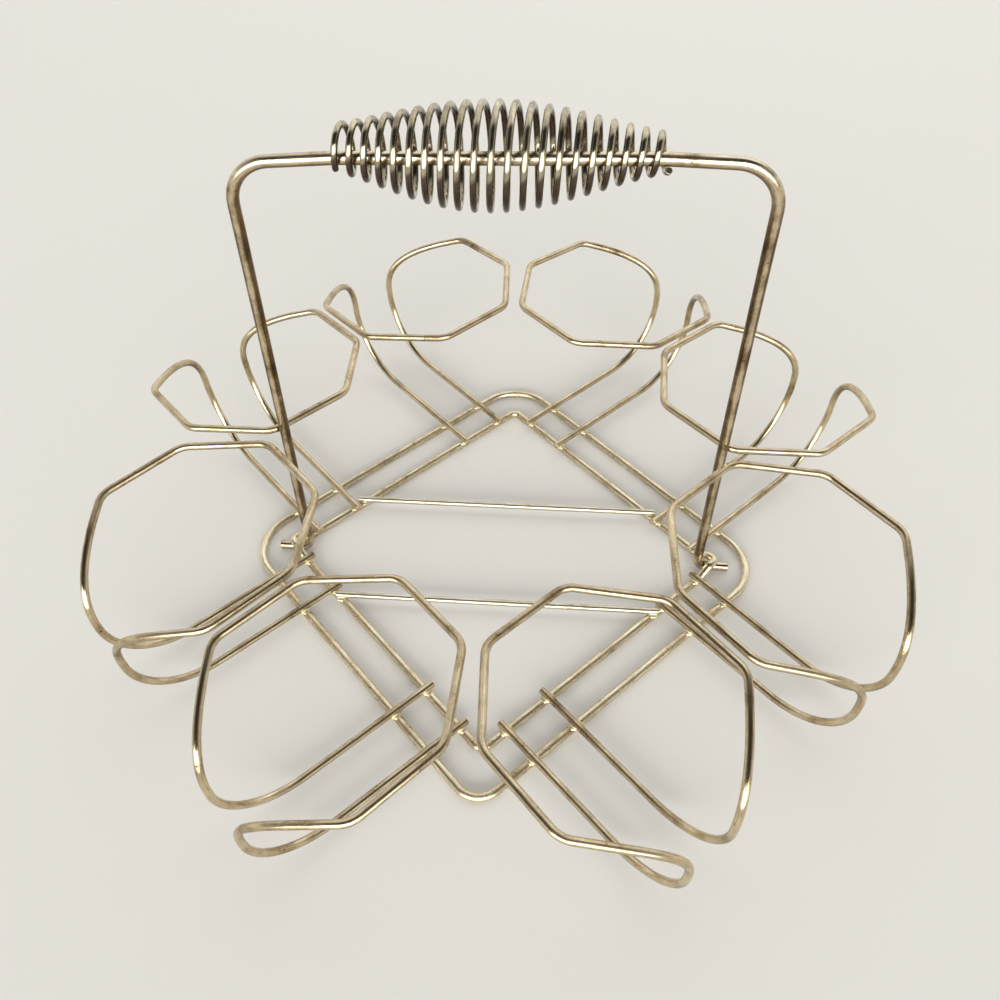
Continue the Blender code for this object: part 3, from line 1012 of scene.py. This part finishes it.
bail_plate = plated_wire(
    "brown_and_painted_shade_plate_on_bail_wire", ("#EADCC2", "#DECCAC", "#7F6A4C", "#2E2018"), (0.12, 0.22), 0.05,
    scuffs=0.45, brown_and_shade_heights=BROWN_AND_SHADE_HEIGHTS
)
coat(bail_plate, wires["bail_wire"])

# The grip's lower half is painted shade, in its tarnished and pitted colours.
grip_plate = plated_wire(
    "dulled_plate_on_grip_wire", ("#CFC5AB", "#ABA187", "#66574A", "#2A1D18"), (0.14, 0.22), 0.04,
    under=(0.10, 0.0)
)
coat(grip_plate, wires["spring_grip_wire"])

# %% [markdown]
# ## Weld metal
#
# The fillets are the same plating over steel that has been molten, so they have no drawing lines.
# They are paler than the wire and much rougher, and their patches are smaller.

# %% Weld metal
WELD_PATCH_MM = 4.0

weld_plate = plated_wire(
    "gold_plated_weld_metal", ("#F2E9C8", "#E2D6AC", "#B8A87C", "#6E5C3C"), (0.42, 0.55), 0.02,
    patch_mm=WELD_PATCH_MM, drawn=False
)
coat(weld_plate, leg_welds, rod_welds)

# %% [markdown]
# ## Floor
#
# The caddy stands on a plain, pale, matt floor, round so that no corner of it shows at the horizon.
# The floor keeps the caddy's shadow. Where the camera sees it, straight or in the metal, a little
# glow makes it paler without putting more light on the object, and Light Path tells those rays from
# the rest.

# %% Floor
FLOOR_RADIUS = 3.0
FLOOR_COLOUR = linear("#E4E1DA")
FLOOR_LIFT = 0.12

deselect_all()
bpy.ops.mesh.primitive_circle_add(
    vertices=128, radius=FLOOR_RADIUS, fill_type="NGON", location=(0, 0, 0)
)
floor = bpy.context.object
floor.name = "floor"
floor_paint = bpy.data.materials.new("pale_floor")
floor_paint.use_nodes = True
tree = floor_paint.node_tree
tree.nodes.clear()
matt = add_node(tree, "ShaderNodeBsdfDiffuse", {"Color": FLOOR_COLOUR}).outputs["BSDF"]
rays = add_node(tree, "ShaderNodeLightPath").outputs
mirrored = add_node(
    tree, "ShaderNodeMath", {0: rays["Is Glossy Ray"], 1: rays["Is Transmission Ray"]}, operation="ADD"
).outputs["Value"]
shown = add_node(
    tree, "ShaderNodeMath", {0: rays["Is Camera Ray"], 1: mirrored}, operation="ADD"
).outputs["Value"]
lift = add_node(
    tree, "ShaderNodeMath", {0: shown, 1: FLOOR_LIFT}, operation="MULTIPLY"
).outputs["Value"]
glow = add_node(
    tree, "ShaderNodeEmission", {"Color": FLOOR_COLOUR, "Strength": lift}
).outputs["Emission"]
both = add_node(tree, "ShaderNodeAddShader", {0: matt, 1: glow}).outputs["Shader"]
add_node(tree, "ShaderNodeOutputMaterial", {"Surface": both})
coat(floor_paint, floor)
print(f"the floor is {2 * FLOOR_RADIUS:.0f} m across")

# %% [markdown]
# ## Studio light
#
# Bare metal shows what is round it, so the studio matters as much as the lamp. The world is a dim
# ceiling with pale walls behind, low down all round and, fainter, at both sides. In front is a
# bright patch with soft edges, like a large softbox, which gives the wires their white bands. Each
# of these is a smooth step along some direction, and the palest one wins. One wide soft lamp above
# and behind gives the shadows.

# %% Walls
BACK_WALL = (0.0, 0.94, 0.34)
CEILING_COLOUR = linear("#3A3938")
WALL_COLOUR = linear("#F1F1F0")
SOFTBOX_GAIN = 5.5

world = bpy.data.worlds.new("studio")
bpy.context.scene.world = world
world.use_nodes = True
tree = world.node_tree
tree.nodes.clear()
direction = add_node(tree, "ShaderNodeTexCoord").outputs["Generated"]
towards_back = add_node(
    tree, "ShaderNodeVectorMath", {0: direction, 1: BACK_WALL}, operation="DOT_PRODUCT"
).outputs["Value"]
parts = add_node(tree, "ShaderNodeSeparateXYZ", {"Vector": direction}).outputs
sideways = add_node(tree, "ShaderNodeMath", {0: parts["X"]}, operation="ABSOLUTE").outputs["Value"]

pale = {}
for part, measure, start, full, most in (
    ("back", towards_back, 0.30, 0.62, 1.0),
    ("low", parts["Z"], 0.45, 0.20, 1.0),
    ("sides", sideways, 0.58, 0.88, 0.40),
    ("front", parts["Y"], -0.55, -0.75, 1.0),
    ("below_top", parts["Z"], 0.60, 0.54, 1.0),
):
    pale[part] = add_node(
        tree, "ShaderNodeMapRange",
        {"Value": measure, "From Min": start, "From Max": full, "To Max": most},
        interpolation_type="SMOOTHSTEP",
    ).outputs["Result"]

softbox = add_node(
    tree, "ShaderNodeMath", {0: pale["front"], 1: pale["below_top"]}, operation="MULTIPLY"
).outputs["Value"]
palest = pale["back"]
for share in (pale["low"], pale["sides"], softbox):
    palest = add_node(
        tree, "ShaderNodeMath", {0: palest, 1: share}, operation="MAXIMUM"
    ).outputs["Value"]
walls = add_node(
    tree, "ShaderNodeValToRGB", {"Fac": palest}, stops=[(0.0, CEILING_COLOUR), (1.0, WALL_COLOUR)]
).outputs["Color"]
strength = add_node(
    tree, "ShaderNodeMath", {0: softbox, 1: SOFTBOX_GAIN, 2: 1.0}, operation="MULTIPLY_ADD"
).outputs["Value"]
background = add_node(tree, "ShaderNodeBackground", {"Color": walls, "Strength": strength})
add_node(tree, "ShaderNodeOutputWorld", {"Surface": background.outputs["Background"]})
print("the studio has", len(tree.nodes), "nodes")

# %% Lamp
LAMP_PLACE = Vector((0.30, 1.00, 1.00))
LAMP_TARGET = Vector((0, 0, 0.05))
LAMP_WATTS = 2.5

bpy.ops.object.light_add(type="AREA", location=LAMP_PLACE)
lamp = bpy.context.object
lamp.name = "lamp_back"
lamp.data.shape = "RECTANGLE"
lamp.data.size = 1.80
lamp.data.size_y = 1.20
lamp.data.energy = LAMP_WATTS
lamp.rotation_euler = (LAMP_TARGET - LAMP_PLACE).to_track_quat("-Z", "Y").to_euler()
print(f"the lamp gives {LAMP_WATTS} W from {(LAMP_TARGET - LAMP_PLACE).length:.1f} m")

# %% [markdown]
# ## Camera
#
# The camera has the photograph's place and angle, about 0.4 m off, in front and well above. It is
# given as a place, a point to look at, a small roll and a focal length in pixels of a picture that
# is 1000 pixels wide, which the sensor's width turns into a lens in millimetres.

# %% Camera
CAMERA_PLACE = Vector((0.02652, -0.24715, 0.32077))
LOOK_AT = Vector((-0.00191, 0.01889, 0.0))
ROLL = math.radians(-1.95)
FOCAL_PIXELS = 884.9
PICTURE_PIXELS = 1000
SENSOR_MM = 36.0
SHIFT_Y = 0.0264

bpy.ops.object.camera_add(location=CAMERA_PLACE)
camera = bpy.context.object
camera.name = "camera"
aim = (LOOK_AT - camera.location).to_track_quat("-Z", "Y")
camera.rotation_euler = (aim @ Quaternion((0, 0, 1), ROLL)).to_euler()
camera.data.sensor_width = SENSOR_MM
camera.data.lens = SENSOR_MM * FOCAL_PIXELS / PICTURE_PIXELS
camera.data.shift_y = SHIFT_Y
camera.data.clip_start = 0.01
bpy.context.scene.camera = camera
bpy.context.scene.view_settings.view_transform = "Standard"
print(f"lens {camera.data.lens:.2f} mm, {(LOOK_AT - CAMERA_PLACE).length:.2f} m to the caddy")
